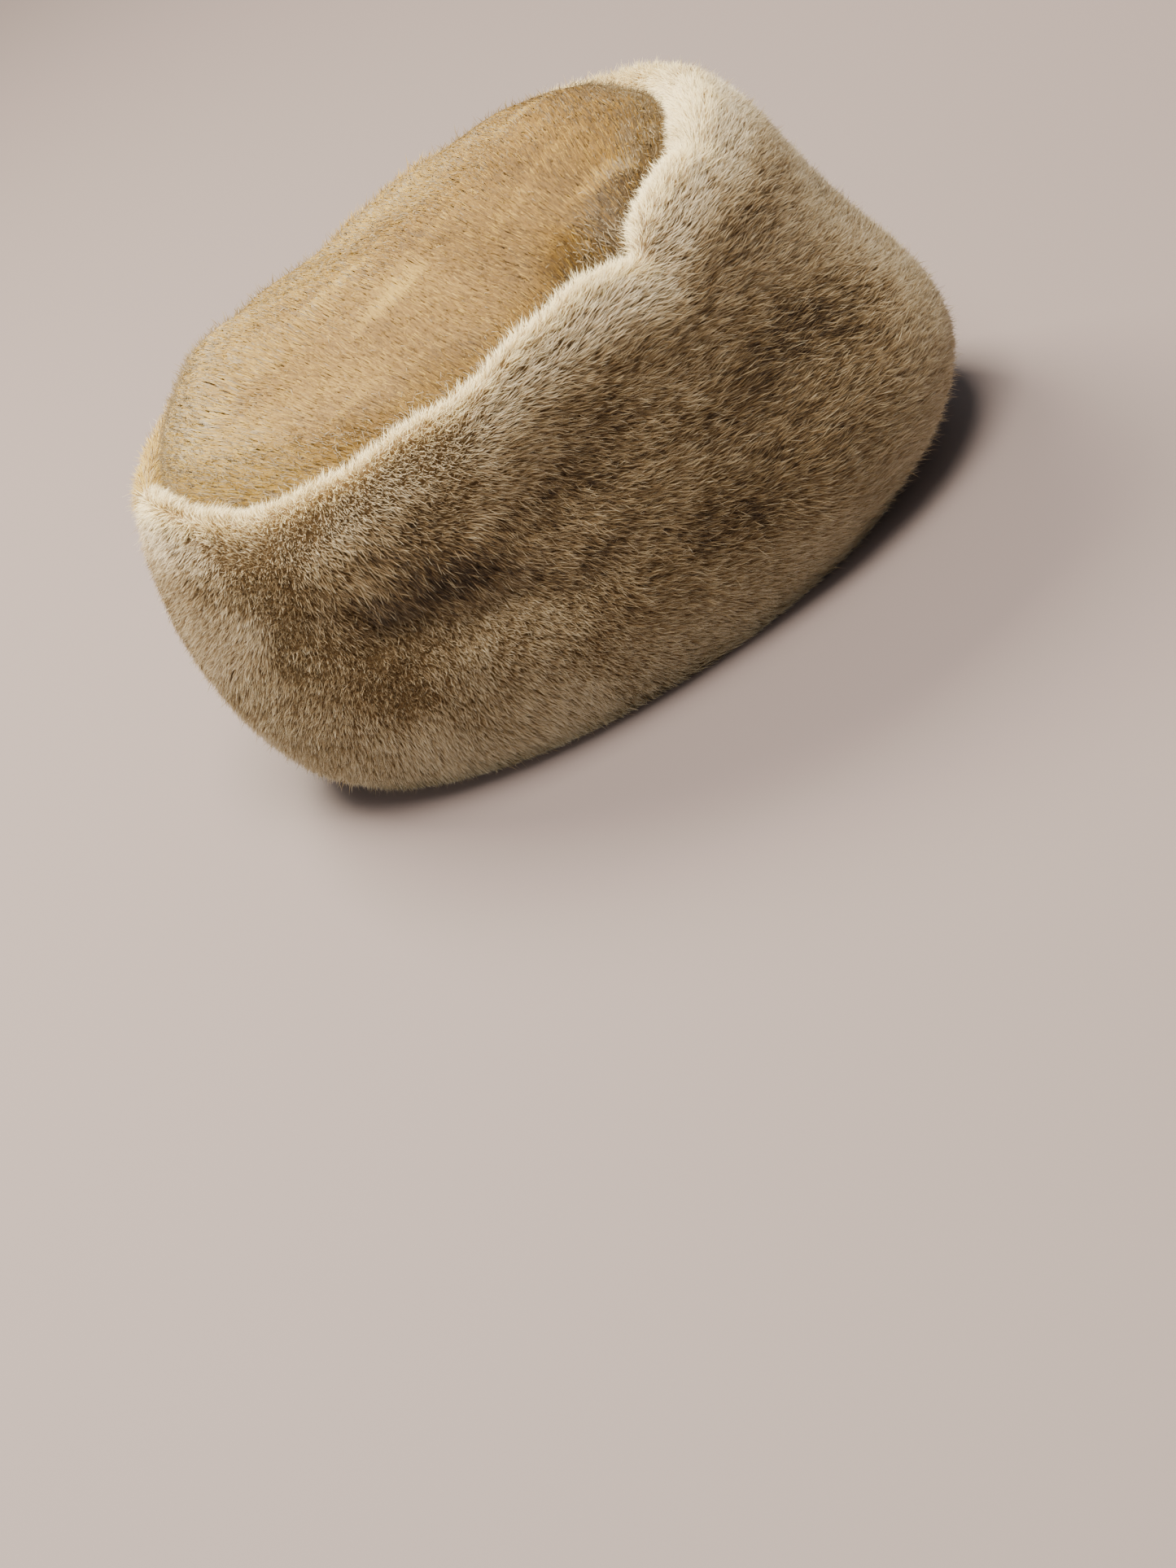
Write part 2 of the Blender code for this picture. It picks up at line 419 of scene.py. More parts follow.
def blended_nap(points):
    """Degrees below the way to the front, whether on the left, and lean, of the nearest rows."""
    angles, shares = angle_of(points), share_of(points)
    on_left = angles > 180
    angles = np.where(on_left, 360 - angles, angles)
    total, ahead, below, lean = np.zeros((4, len(points)))
    for angle, share, down, flat in BAND_NAP:
        distance = ((angles - angle) / ANGLE_PER_SHARE) ** 2 + (shares - share) ** 2
        weight = 1 / (distance + ROW_SOFTNESS) ** 3
        total += weight
        ahead += weight * math.cos(math.radians(down))
        below += weight * math.sin(math.radians(down))
        lean += weight * flat
    return np.degrees(np.arctan2(below, ahead)), on_left, lean / total


def band_nap(points, normals):
    """The way the hairs lean along the band's surface, and how far they lean."""
    down, on_left, lean = blended_nap(points)
    crest = crest_of(points, normals)
    down = down + (CREST_DOWN - down) * crest
    lean = lean + (CREST_LEAN - lean) * crest
    down = down + mottled(points, BAND_TURN_LAYERS)
    outward = outward_in_plan(points) * np.where(on_left, -1, 1)[:, None]
    ahead = np.stack((-outward[:, 1], outward[:, 0], np.zeros(len(points))), 1)
    ahead = unit(ahead - (ahead * normals).sum(1)[:, None] * normals)
    below = np.cross(ahead, normals) * np.where(on_left, -1, 1)[:, None]
    turn = np.radians(down)[:, None]
    lean = np.clip(lean + mottled(points, BAND_LEAN_LAYERS), LEAST_LEAN, MOST_LEAN)
    return ahead * np.cos(turn) + below * np.sin(turn), lean


# %% The nap of the crown
CROWN_NAP_FROM_FRONT, CROWN_NAP_TURNS = 87.0, 0.14
CROWN_TURN_LAYERS = ((3, 40, 21), (2, 13, 22))
CROWN_LEAN, CROWN_LEAN_LAYERS = 1.18, ((0.02, 18, 23),)


def crown_nap(points, normals):
    """The way the hairs lean on the crown, and how far they lean."""
    patches = mottled(points, CROWN_TURN_LAYERS)
    turn = np.radians(CROWN_NAP_FROM_FRONT - CROWN_NAP_TURNS * points[:, 1] / MM + patches)
    across = np.stack((-np.sin(turn), -np.cos(turn), np.zeros(len(points))), 1)
    across = unit(across - (across * normals).sum(1)[:, None] * normals)
    return across, CROWN_LEAN + mottled(points, CROWN_LEAN_LAYERS)


# %% [markdown]
# ## The shape of a hair
#
# Blender can grow hair curves, but an exported part keeps only meshes, so each hair is a
# ribbon of two triangles, shaped like a narrow kite: widest at its bend, and pointed at its
# root and tip. It starts 2 mm below the surface of the solid, in the dense undercoat, and its
# tip stands about 1.5 mm above it. A hair that leans far uses more of its length, and an
# upright one was shorn shorter. Real fibres are finer, so each ribbon stands for a few.

# %% Scatter the roots
MEAN_DENSITY, MORE_ON_RIGHT, DENSEST_AT = 0.70, 0.30, 84
EVENER_FROM, EVENER_TO, EVENER_BY = 60 * MM, 130 * MM, 0.6


def density_at(points):
    """1 on the wearer's right, and less on the left, where the ribbons are wider instead."""
    evener = EVENER_BY * eased(points[:, 2], EVENER_FROM, EVENER_TO)
    to_right = np.cos(np.radians(angle_of(points) - DENSEST_AT))
    return MEAN_DENSITY + MORE_ON_RIGHT * to_right * (1 - evener)


def scatter(skin, per_mm2, seed):
    """Random places on a skin, and the normals there."""
    random = np.random.default_rng(seed)
    wanted = skin["areas"] * density_at(skin["points"][skin["triangles"]].mean(1))
    count = int(wanted.sum() * per_mm2 / MM ** 2)
    chosen = random.choice(len(wanted), count, p=wanted / wanted.sum())
    along, across = random.random((2, count))
    beyond = along + across > 1
    along, across = np.where(beyond, 1 - along, along), np.where(beyond, 1 - across, across)
    weights = np.stack((1 - along - across, along, across), 1)[..., None]
    corners = skin["triangles"][chosen]
    places = (skin["points"][corners] * weights).sum(1)
    return places, unit((skin["normals"][corners] * weights).sum(1))


# %% Bend the hairs
ROOT_DEPTH = 2.0 * MM
PILE_LENGTH = 7.0 * MM
PILE_RISE = 3.5 * MM
BEND_AT = 0.45
LEAST_TILT, MORE_TILT = 10, 60
TILT_BELOW_BEND, TILT_ABOVE_BEND = 0.65, 1.15
FLATTEST = math.radians(91)
SHORTEST, LENGTH_SPREAD = 0.80, 0.48
PILE_STRAY, WILDER_UPRIGHT = 0.16, 1.5


def bent_hairs(places, normals, nap, lean, seed, growth=1.0, stray=PILE_STRAY,
               length=PILE_LENGTH, rise=PILE_RISE):
    """Root, bend and tip of each hair, as an array of count x 3 points."""
    random = np.random.default_rng(seed)
    count = len(places)
    tilt = np.radians(LEAST_TILT + MORE_TILT * lean)[:, None]
    low, high = TILT_BELOW_BEND * tilt, np.minimum(TILT_ABOVE_BEND * tilt, FLATTEST)
    reach = BEND_AT * np.cos(low) + (1 - BEND_AT) * np.cos(high)
    uneven = SHORTEST + LENGTH_SPREAD * random.random((count, 1)) ** 2
    long = np.minimum(length, rise / reach) * uneven * growth
    sideways = np.cross(normals, nap)
    spread = (stray * (1 + WILDER_UPRIGHT * np.clip(1 - lean, 0, 1) ** 2))[:, None]
    ahead, aside, curl = random.normal(0, 1, (3, count, 1)) * spread
    lower = unit(normals * np.cos(low) + nap * (np.sin(low) + ahead) + sideways * aside)
    upper = unit(normals * np.cos(high) + nap * (np.sin(high) + ahead) + sideways * (aside + curl))
    root = places - normals * ROOT_DEPTH
    bend = root + lower * long * BEND_AT
    tip = bend + upper * long * (1 - BEND_AT)
    return np.stack((root, bend, tip), 1)


# %% [markdown]
# ## Pile that lies flat
#
# The crown's pile is brushed flat. Over its rounded edge a straight hair would overshoot the
# fabric and show us its dark underside. So we look up the nearest place on the skin for each
# bend and tip, with a bounding volume tree, and put them a fraction of a millimetre from it.

# %% Lay hairs down on a skin
def nearest_on(skin, points):
    """The places on a skin nearest to some points, and its smooth normals there."""
    tree = BVHTree.FromPolygons(skin["points"].tolist(), skin["triangles"].tolist())
    found = [tree.find_nearest(point) for point in points.tolist()]
    places = np.array([hit[0] for hit in found])
    corners = skin["triangles"][[hit[2] for hit in found]]
    a, b, c = (skin["points"][corners[:, corner]] for corner in range(3))
    cross = np.cross(b - a, c - a)
    size = (cross * cross).sum(1)
    second = (np.cross(places - a, c - a) * cross).sum(1) / size
    third = (np.cross(b - a, places - a) * cross).sum(1) / size
    weights = np.stack((1 - second - third, second, third), 1)[..., None]
    return places, unit((skin["normals"][corners] * weights).sum(1))


def lay_down(hairs, skin, bend_height, tip_heights):
    """Moves bends and tips to these heights over a skin. Returns the normals at the tips."""
    places, normals = nearest_on(skin, hairs[:, 1])
    hairs[:, 1] = places + normals * bend_height
    places, normals = nearest_on(skin, hairs[:, 2])
    hairs[:, 2] = places + normals * tip_heights[:, None]
    return normals


# %% [markdown]
# ## Locks
#
# Fibres cling together. Each hair is drawn towards the tip of the hair in the middle of its
# lock, which opens dark gaps between the locks and gives the pile its grain. A k-d tree
# finds the nearest middle quickly.

# %% Draw the hairs together
HAIRS_IN_A_LOCK = 6
PULL_AT_ROOT_BEND_TIP = (0.0, 0.35, 1.0)


def draw_together(hairs, places, pull, seed):
    """Draws the hairs towards the middle hair of their lock."""
    random = np.random.default_rng(seed)
    middles = random.choice(len(places), len(places) // HAIRS_IN_A_LOCK, replace=False)
    tree = KDTree(len(middles))
    for number, place in enumerate(places[middles].tolist()):
        tree.insert(place, number)
    tree.balance()
    nearest = middles[[tree.find(place)[1] for place in places.tolist()]]
    pulls = np.array(PULL_AT_ROOT_BEND_TIP)[None, :, None] * pull
    return hairs + (hairs[nearest] - hairs) * pulls


# %% [markdown]
# ## From hairs to a mesh
#
# A ribbon is flat, and so needs a direction across it. We turn each one to face outwards,
# give or take a random roll, and store a normal between the ribbon's own and the fabric's,
# so that light falls softly over the pile as a whole. The texture coordinates say all that
# a colour needs: v runs from root to tip, and u is the hair's own tone.

# %% Make ribbons
RIBBON_WIDTH = 0.24 * MM
TONES = 64
MAP_INSET, MAP_MARGIN = 0.1, 0.01
FLOOR_GAP = 0.4 * MM
ACROSS_JITTER = 0.02


def ribbon_frames(hairs, normals, roll_by, sleek, seed):
    """Directions across each ribbon, and the normals to shade it with."""
    random = np.random.default_rng(seed)
    along = unit(hairs[:, 2] - hairs[:, 0])
    jitter = ACROSS_JITTER * unit(random.normal(size=normals.shape))
    across = unit(np.cross(along, normals) + jitter)
    roll = random.normal(0, roll_by, len(hairs))[:, None]
    face = np.cross(across, along)
    face *= np.sign((face * normals).sum(1))[:, None] + 1e-9
    across = unit(across * np.cos(roll) + face * np.sin(roll))
    face = np.cross(across, along)
    face *= np.where((face * normals).sum(1) < 0, -1, 1)[:, None]
    return across, unit(sleek * normals + (1 - sleek) * face)


def ribbon_points(hairs, across, width):
    """Four points of each ribbon: root, bend right and left, and tip."""
    half = across * width[:, None] / 2
    root, bend, tip = hairs[:, 0], hairs[:, 1], hairs[:, 2]
    points = np.stack((root, bend + half, bend - half, tip), 1)
    points[..., 2] = np.maximum(points[..., 2], FLOOR_GAP)
    return points


def ribbon_map(tones):
    """Texture coordinates of each ribbon's six corners, in its tone's column."""
    column = np.floor(np.clip(tones * TONES, 0, TONES - 1))
    left, right, middle = ((column + part) / TONES for part in (MAP_INSET, 1 - MAP_INSET, 0.5))
    sides = (middle, right, left, left, right, middle)
    levels = (MAP_MARGIN, BEND_AT, 1 - MAP_MARGIN)
    low, half, high = (np.full(len(tones), level) for level in levels)
    heights = (low, half, half, half, half, high)
    return np.stack((np.stack(sides, 1), np.stack(heights, 1)), 2)


# %% Build one piece of pile
def ribbon_mesh(name, points, shading, tones, turned):
    """A mesh of ribbons; turned ones have their corners in the other order."""
    count = len(points)
    corners = np.where(turned[:, None], (0, 2, 1, 1, 2, 3), (0, 1, 2, 2, 1, 3))
    corners = (np.arange(count)[:, None] * 4 + corners).astype(np.int32)
    starts = (np.arange(count)[:, None] * 6 + (0, 3)).astype(np.int32)
    mesh = bpy.data.meshes.new(name)
    mesh.vertices.add(count * 4)
    mesh.vertices.foreach_set("co", points.astype(np.float32).ravel())
    mesh.loops.add(count * 6)
    mesh.loops.foreach_set("vertex_index", corners.ravel())
    mesh.polygons.add(count * 2)
    mesh.polygons.foreach_set("loop_start", starts.ravel())
    mesh.update(calc_edges=True)
    layer = mesh.uv_layers.new(name="OFBake")
    layer.data.foreach_set("uv", ribbon_map(tones).astype(np.float32).ravel())
    normals = mesh.attributes.new("custom_normal", "FLOAT_VECTOR", "POINT")
    normals.data.foreach_set("vector", np.repeat(shading, 4, 0).astype(np.float32).ravel())
    return mesh


def pile_piece(name, hairs, normals, tones, width, material, seed, roll_by=0.6,
               sleek=0.55):
    """A piece of pile that rides on the hat. sleek: how far the fabric's normal shades it."""
    across, shading = ribbon_frames(hairs, normals, roll_by, sleek, seed)
    points = ribbon_points(hairs, across, width)
    face = np.cross(points[:, 1] - points[:, 0], points[:, 2] - points[:, 0])
    turned = (face * shading).sum(1) < 0
    piece = bpy.data.objects.new(name, ribbon_mesh(name, points, shading, tones, turned))
    piece.data.materials.append(material)
    bpy.context.scene.collection.objects.link(piece)
    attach(piece, "root")
    print(name, len(hairs), "hairs,", len(hairs) * 2, "triangles")
    return piece


# %% [markdown]
# ## What the pile is made of
#
# Such pile is a modacrylic or polyester fibre, dyed honey brown at the root and left pale
# towards the tip. It is slightly glossy, and thin enough to let light through. So the
# colour runs along v, from root to tip, and is multiplied by the tone in u. A Principled
# shader carries the gloss, and a share of Translucent lets the far light glow in the tips.
# Ribbons that lie flat shine together like a sheet, so the crown's are given less gloss.

# %% The pile's material
FIBRE_IOR = 1.54
FIBRE_ROUGHNESS = 0.62
THROUGH_SHARE = 0.35


def pile_material(name, along_stops, tone_stops, gloss=0.5):
    """Dyed modacrylic fibre. Stops are (place, colour) from root to tip, and from dark to light."""
    material, output = new_material(name)
    place = add_node(material, "ShaderNodeUVMap", uv_map="OFBake")
    parts = add_node(material, "ShaderNodeSeparateXYZ", links=((0, place, 0),))
    along = add_node(material, "ShaderNodeValToRGB", links=((0, parts, 1),), stops=along_stops)
    tone = add_node(material, "ShaderNodeValToRGB", links=((0, parts, 0),), stops=tone_stops)
    colour = add_node(material, "ShaderNodeMixRGB", blend_type="MULTIPLY",
                      links=((1, along, 0), (2, tone, 0)), values=((0, 1.0),))
    fibre = add_node(material, "ShaderNodeBsdfPrincipled", links=(("Base Color", colour, 0),),
                     values=(("Roughness", FIBRE_ROUGHNESS), ("IOR", FIBRE_IOR),
                             ("Specular IOR Level", gloss)))
    through = add_node(material, "ShaderNodeBsdfTranslucent", links=((0, colour, 0),))
    both = add_node(material, "ShaderNodeMixShader", values=((0, THROUGH_SHARE),),
                    links=((1, fibre, 0), (2, through, 0)))
    material.node_tree.links.new(both.outputs[0], output.inputs[0])
    return material


TONE_STOPS = ((0.0, "#42321e"), (0.3, "#a69276"), (0.65, "#e8dfd0"), (1.0, "#ffffff"))
band_pile = pile_material(
    "modacrylic_pile_band",
    ((0.0, "#685232"), (0.45, "#a8906a"), (0.75, "#dccfac"), (1.0, "#f8f2e0")), TONE_STOPS)
# The ridge's paler copy of the band's pile: a painted highlight where the tips face the light.
ridge_pile_painted_highlight = pile_material(
    "modacrylic_pile_ridge_painted_highlight",
    ((0.0, "#947a44"), (0.35, "#dcc68a"), (0.6, "#f6e8b8"), (1.0, "#fff5cc")), TONE_STOPS)
crown_pile = pile_material(
    "modacrylic_pile_crown",
    ((0.0, "#ba9c50"), (0.4, "#c4a958"), (0.75, "#ceb462"), (1.0, "#d8c276")), TONE_STOPS,
    gloss=0.2)
# A paler, greyer copy of the crown's pile: painted light on the crown, and also the colour of the
# crown's guard hairs.
crown_pile_painted_light = pile_material(
    "modacrylic_pile_crown_painted_light",
    ((0.0, "#9c927c"), (0.4, "#aca28a"), (0.75, "#b8ae96"), (1.0, "#c4bca4")), TONE_STOPS,
    gloss=0.2)

# %% [markdown]
# ## The pelt under the hairs
#
# Below the tips lies the undercoat, too dense for single hairs: it closes the gaps between
# them, brown on the band and honey coloured on the crown. We copy each solid and draw its
# outer face inwards, so that the roots lie in it. The inner face stays where it is, and
# shows the knitted backing.

# %% Undercoat and backing
BAND_UNDERCOAT_DEPTH, CROWN_UNDERCOAT_DEPTH = 1.8 * MM, 1.3 * MM
FIBRE_CLUMP_MM, KNIT_ROW_MM = 1.2, 6.9
WAVES_AT_SCALE_1 = 20 / (2 * math.pi)


def undercoat(name, dark, light):
    """Dense modacrylic fibre at its roots: matt, with a fine clumped grain."""
    material, output = new_material(name)
    place = add_node(material, "ShaderNodeTexCoord")
    grain = add_node(material, "ShaderNodeTexNoise", links=(("Vector", place, "Object"),),
                     values=(("Scale", 1000 / FIBRE_CLUMP_MM), ("Detail", 3.0)))
    colour = add_node(material, "ShaderNodeValToRGB", links=((0, grain, 0),),
                      stops=((0.3, dark), (0.7, light)))
    bump = add_node(material, "ShaderNodeBump", links=(("Height", grain, 0),),
                    values=(("Strength", 0.7), ("Distance", 0.5 * MM)))
    fibre = add_node(material, "ShaderNodeBsdfPrincipled",
                     links=(("Base Color", colour, 0), ("Normal", bump, 0)),
                     values=(("Roughness", 0.85), ("IOR", FIBRE_IOR)))
    material.node_tree.links.new(fibre.outputs[0], output.inputs[0])
    return material


def knitted_backing():
    """Warp-knitted polyester: matt and sand coloured, in soft rows that lie round the hat."""
    material, output = new_material("knitted_polyester_backing")
    place = add_node(material, "ShaderNodeTexCoord")
    rows = add_node(material, "ShaderNodeTexWave", bands_direction="Z",
                    links=(("Vector", place, "Object"),),
                    values=(("Scale", 1000 / KNIT_ROW_MM / WAVES_AT_SCALE_1), ("Distortion", 1.2),
                            ("Detail", 2.0), ("Detail Scale", 3.0)))
    colour = add_node(material, "ShaderNodeValToRGB", links=((0, rows, 0),),
                      stops=((0.2, "#8a7250"), (0.8, "#c2aa80")))
    bump = add_node(material, "ShaderNodeBump", links=(("Height", rows, 0),),
                    values=(("Strength", 0.5), ("Distance", 0.3 * MM)))
    knit = add_node(material, "ShaderNodeBsdfPrincipled",
                    links=(("Base Color", colour, 0), ("Normal", bump, 0)),
                    values=(("Roughness", 0.9), ("IOR", 1.5)))
    material.node_tree.links.new(knit.outputs[0], output.inputs[0])
    return material


band_undercoat = undercoat("modacrylic_undercoat_band", "#644e30", "#8c7248")
crown_undercoat = undercoat("modacrylic_undercoat_crown", "#ac8a50", "#c8a868")
backing_knit = knitted_backing()


# %% Make the pelts
def make_pelt(node, skin, depth, undercoat_fibre):
    """The solid with its outer face drawn in, standing for its CAD node."""
    points = skin["points"] - skin["normals"] * depth
    outer = {tuple(row) for row in np.sort(skin["triangles"], 1).tolist()}
    mesh = bpy.data.meshes.new(node + "_pelt")
    mesh.from_pydata(points.tolist(), [], skin["all"].tolist())
    for material in (undercoat_fibre, backing_knit):
        mesh.materials.append(material)
    for face in mesh.polygons:
        face.use_smooth = True
        face.material_index = 0 if tuple(sorted(face.vertices)) in outer else 1
    pelt = bpy.data.objects.new(node + "_pelt", mesh)
    bpy.context.scene.collection.objects.link(pelt)
    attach(pelt, "root")
    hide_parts(node)
    print(pelt.name, len(mesh.polygons), "faces")
    return pelt


make_pelt("side_band", band_skin, BAND_UNDERCOAT_DEPTH, band_undercoat)
make_pelt("crown_top", crown_skin, CROWN_UNDERCOAT_DEPTH, crown_undercoat)

# %% [markdown]
# ## The pile of the band
#
# All the band's hairs are made at once, so that the locks run on across the whole of it.
# They are then shared out over pieces by their angle round the hat, because a viewer handles
# several middling meshes better than one huge one. The table of patches paints shade and
# light into the pile's tone: it darkens the folds, partly where the pile opens and partly as
# painted shade, and makes the bulges, the hem and the band under the ridge paler as painted
# light. Along the ridge, where the tips face the light, the hairs take a paler copy of the
# pile's colour as a painted highlight, with painted shade where the seam gathers. On the
# wearer's left the ridge is seen only along the crown's far edge, where it is as honey
# coloured as the crown.

# %% The band's pieces and the patches of its pile
BAND_PARTS = (
    # name, whether on the ridge, from degree, to degree, material
    ("band_pile_front", False, -35, 15, band_pile),
    ("band_pile_front_right", False, 15, 60, band_pile),
    ("band_pile_right", False, 60, 112, band_pile),
    ("band_pile_back_right", False, 112, 175, band_pile),
    ("band_pile_back", False, 175, 250, band_pile),
    ("band_pile_left", False, 250, 325, band_pile),
    ("ridge_pile_right", True, -45, 184, ridge_pile_painted_highlight),
    ("ridge_pile_left", True, 184, 315, crown_pile),
)

# Painted shade and light: darker in the folds, partly where the pile opens, paler on the bulges,
# under the ridge and along the hem.
SHADE_AND_LIGHT_PATCHES = (
    # angle and share of the middle, along: degrees, up: share, climb: share a degree, change
    (92, 0.66, 13, 0.10, 0.0, -0.45),
    (104, 0.56, 9, 0.07, 0.0, 0.24),
    (98, 0.47, 13, 0.05, 0.0, -0.30),
    (75, 0.42, 9, 0.07, 0.0, -0.14),
    (122, 0.61, 18, 0.11, 0.0020, -0.66),
    (130, 0.70, 9, 0.13, 0.0, -0.14),
    (142, 0.44, 10, 0.08, 0.0, -0.18),
    (122, 0.81, 15, 0.07, 0.0, -0.34),
    (8, 0.60, 20, 0.25, 0.0, 0.14),
    (46, 0.83, 24, 0.06, 0.0, -0.22),
    (62, 0.27, 20, 0.12, 0.0, -0.12),
    (68, 0.57, 20, 0.08, 0.0, -0.28),
    (62, 0.76, 22, 0.08, 0.0, -0.18),
    (46, 0.50, 19, 0.14, 0.0020, -0.50),
    (22, 0.45, 30, 0.40, 0.0, 0.10),
    (78, 0.32, 24, 0.10, -0.0010, -0.38),
    (139, 0.92, 36, 0.08, 0.0, 0.45),
    (150, 0.72, 20, 0.14, 0.0, 0.16),
    (158, 0.60, 18, 0.26, 0.0, 0.12),
    (180, 0.76, 16, 0.22, 0.0, -0.34),
    (152, 0.18, 28, 0.20, 0.0, 0.38),
    (90, 0.02, 90, 0.12, 0.0, 0.60),
    (205, 0.45, 24, 0.10, 0.0030, -0.22),
    (262, 0.52, 30, 0.08, 0.0020, -0.25),
    (318, 0.42, 20, 0.10, -0.0020, -0.20),
)


def painted_shade_and_light(points):
    """What the patches add to the tone: painted shade that darkens the folds, and painted light on
    the paler patches.
    """
    angles, shares = angle_of(points), share_of(points)
    total = np.zeros(len(points))
    for angle, share, along, up, climb, change in SHADE_AND_LIGHT_PATCHES:
        aside = degrees_from(angles, angle)
        above = shares - share - climb * aside
        total += change * np.exp(-(aside / along) ** 2 - (above / up) ** 2)
    return total


# %% Tones of the band
RIDGE_FROM, RIDGE_TO = 9 * MM, 1 * MM
BAND_TONE, BAND_GRAIN, BAND_TONE_SEED = 0.62, 0.17, 31
BAND_TONE_LAYERS = ((0.08, 18, 32), (0.05, 6, 33))
BAND_GRAIN_LAYERS = ((0.12, 1.4, 35),)
HIGHLIGHT_FROM, HIGHLIGHT_TO, HIGHLIGHT_BY, HONEY_BY = 0.82, 0.94, 0.45, 0.48
CREST_HIGHLIGHT_BY = 0.20
GATHER_SIZE, GATHER_SHADE_BY, GATHERS_LESS_ON_LEFT = 11 * MM, 0.65, 0.8
GATHERS_SHOW = (0.2, 1.4)
HONEY_STARTS, HONEY_ENDS = (176, 194), (325, 300)


def ridge_share(points, normals):
    """0 on the wall, rising to 1 along its upper edge and over the roll."""
    below = ridge_at(points) - points[:, 2]
    return np.maximum(eased(below, RIDGE_FROM, RIDGE_TO), crest_of(points, normals))


def honey_side(points):
    """1 on the wearer's left, where the ridge is honey coloured like the crown, else 0."""
    angles = angle_of(points)
    return eased(angles, *HONEY_STARTS) * eased(angles, *HONEY_ENDS)


def band_tone(points, normals):
    """Tone of the band's hairs: a painted highlight on the ridge, soft random patches, the table's
    painted shade and light, and a random part.
    """
    random = np.random.default_rng(BAND_TONE_SEED)
    on_ridge, on_left = ridge_share(points, normals), honey_side(points)
    # Painted highlight, paler towards the ridge and less on the wearer's left; more of it on the
    # crest, with painted shade in patches where the seam gathers.
    paler = (HIGHLIGHT_BY - HONEY_BY * on_left) * eased(share_of(points), HIGHLIGHT_FROM, HIGHLIGHT_TO)
    gather_shade = eased(waves(points, GATHER_SIZE, 34), *GATHERS_SHOW)
    gather_shade *= 1 - GATHERS_LESS_ON_LEFT * on_left
    crest = (CREST_HIGHLIGHT_BY - GATHER_SHADE_BY * gather_shade) * on_ridge
    grain = random.normal(0, BAND_GRAIN, len(points)) + mottled(points, BAND_GRAIN_LAYERS)
    # Soft random patches, plus the table's painted shade and light.
    patches = mottled(points, BAND_TONE_LAYERS) + painted_shade_and_light(points)
    return BAND_TONE + paler + crest + patches + grain * (1 + on_ridge)


# %% Grow hairs on a skin
RIDGE_GROWTH, TUFT_GROWTH, TUFT_SIZE = 0.15, 0.15, 2.5 * MM
RIDGE_STRAY = 0.14
NARROWEST, WIDEST = 0.7, 1.2


def grow(skin, nap_of, tone_of, growth_of, per_mm2, pull, seed):
    """Hairs of a whole skin. pull: how far the locks draw them together."""
    places, normals = scatter(skin, per_mm2, seed)
    nap, lean = nap_of(places, normals)
    growth, stray = growth_of(places, normals)
    hairs = bent_hairs(places, normals, nap, lean, seed + 1, growth[:, None], stray)
    hairs = draw_together(hairs, places, pull, seed + 2)
    return places, hairs, normals, tone_of(places, normals)


def widths(places, width, seed):
    """Ribbon widths, each a little different, and wider where there are fewer."""
    spread = np.random.default_rng(seed).uniform(NARROWEST, WIDEST, len(places))
    return width * spread / density_at(places)


def band_growth(points, normals):
    """How much the hairs grow and stray: along the ridge more, and in tufts."""
    on_ridge = ridge_share(points, normals)
    tufts = TUFT_GROWTH * waves(points, TUFT_SIZE, 36)
    return 1 + on_ridge * (RIDGE_GROWTH + tufts), PILE_STRAY + RIDGE_STRAY * on_ridge


# %% Grow the band's pile
BAND_PER_MM2, BAND_PULL, BAND_SEED = 4.9, 0.12, 40
RIDGE_WIDTH = 0.75 * RIBBON_WIDTH
BAND_SLEEK, RIDGE_SLEEK = 0.55, 0.8
UPWARDS_FROM, UPWARDS_TO, RIDGE_UPWARDS = 0.80, 0.92, 0.4
places, hairs, normals, tones = grow(
    band_skin, band_nap, band_tone, band_growth, BAND_PER_MM2, BAND_PULL, BAND_SEED)
angles = angle_of(places)
to_ridge = ridge_share(places, normals)
on_ridge = np.random.default_rng(BAND_SEED + 8).random(len(places)) < to_ridge
lift = RIDGE_UPWARDS * to_ridge + eased(share_of(places), UPWARDS_FROM, UPWARDS_TO)
upwards = unit(normals + np.array((0.0, 0.0, 1.0)) * lift[:, None])
for number, (name, ridge, first, last, material) in enumerate(BAND_PARTS):
    chosen = ((angles - first) % 360 < last - first) & (on_ridge == ridge)
    width, sleek = (RIDGE_WIDTH, RIDGE_SLEEK) if ridge else (RIBBON_WIDTH, BAND_SLEEK)
    pile_piece(name, hairs[chosen], upwards[chosen], tones[chosen],
               widths(places[chosen], width, BAND_SEED + 10 + number), material,
               BAND_SEED + 20 + number, sleek=sleek)

# %% [markdown]
# ## The pile of the crown
#
# The top is cut from the same fabric. Its hairs lie flat, brushed across the hat. Its tone
# holds painted shade and light: palest at its far side and its back, and a share of the hairs,
# most of all at the front, take a paler, greyer copy of its colour as painted light. Two
# tables of smooth steps say how far, in every direction.

# %% Tones of the crown
# Painted shade and light: paler towards the far side, the back and the front edge, darker towards
# the near side and the front.
CROWN_SHADE_AND_LIGHT_STEPS = (
    # direction x, y (left, back), from mm, to mm, change of tone
    (1, 0, -20, 80, 0.20),
    (-1, 0, 20, 90, -0.08),
    (0, -1, -10, 60, -0.12),
    (0, -1, 60, 95, 0.50),
    (0, 1, 50, 110, 0.22),
)
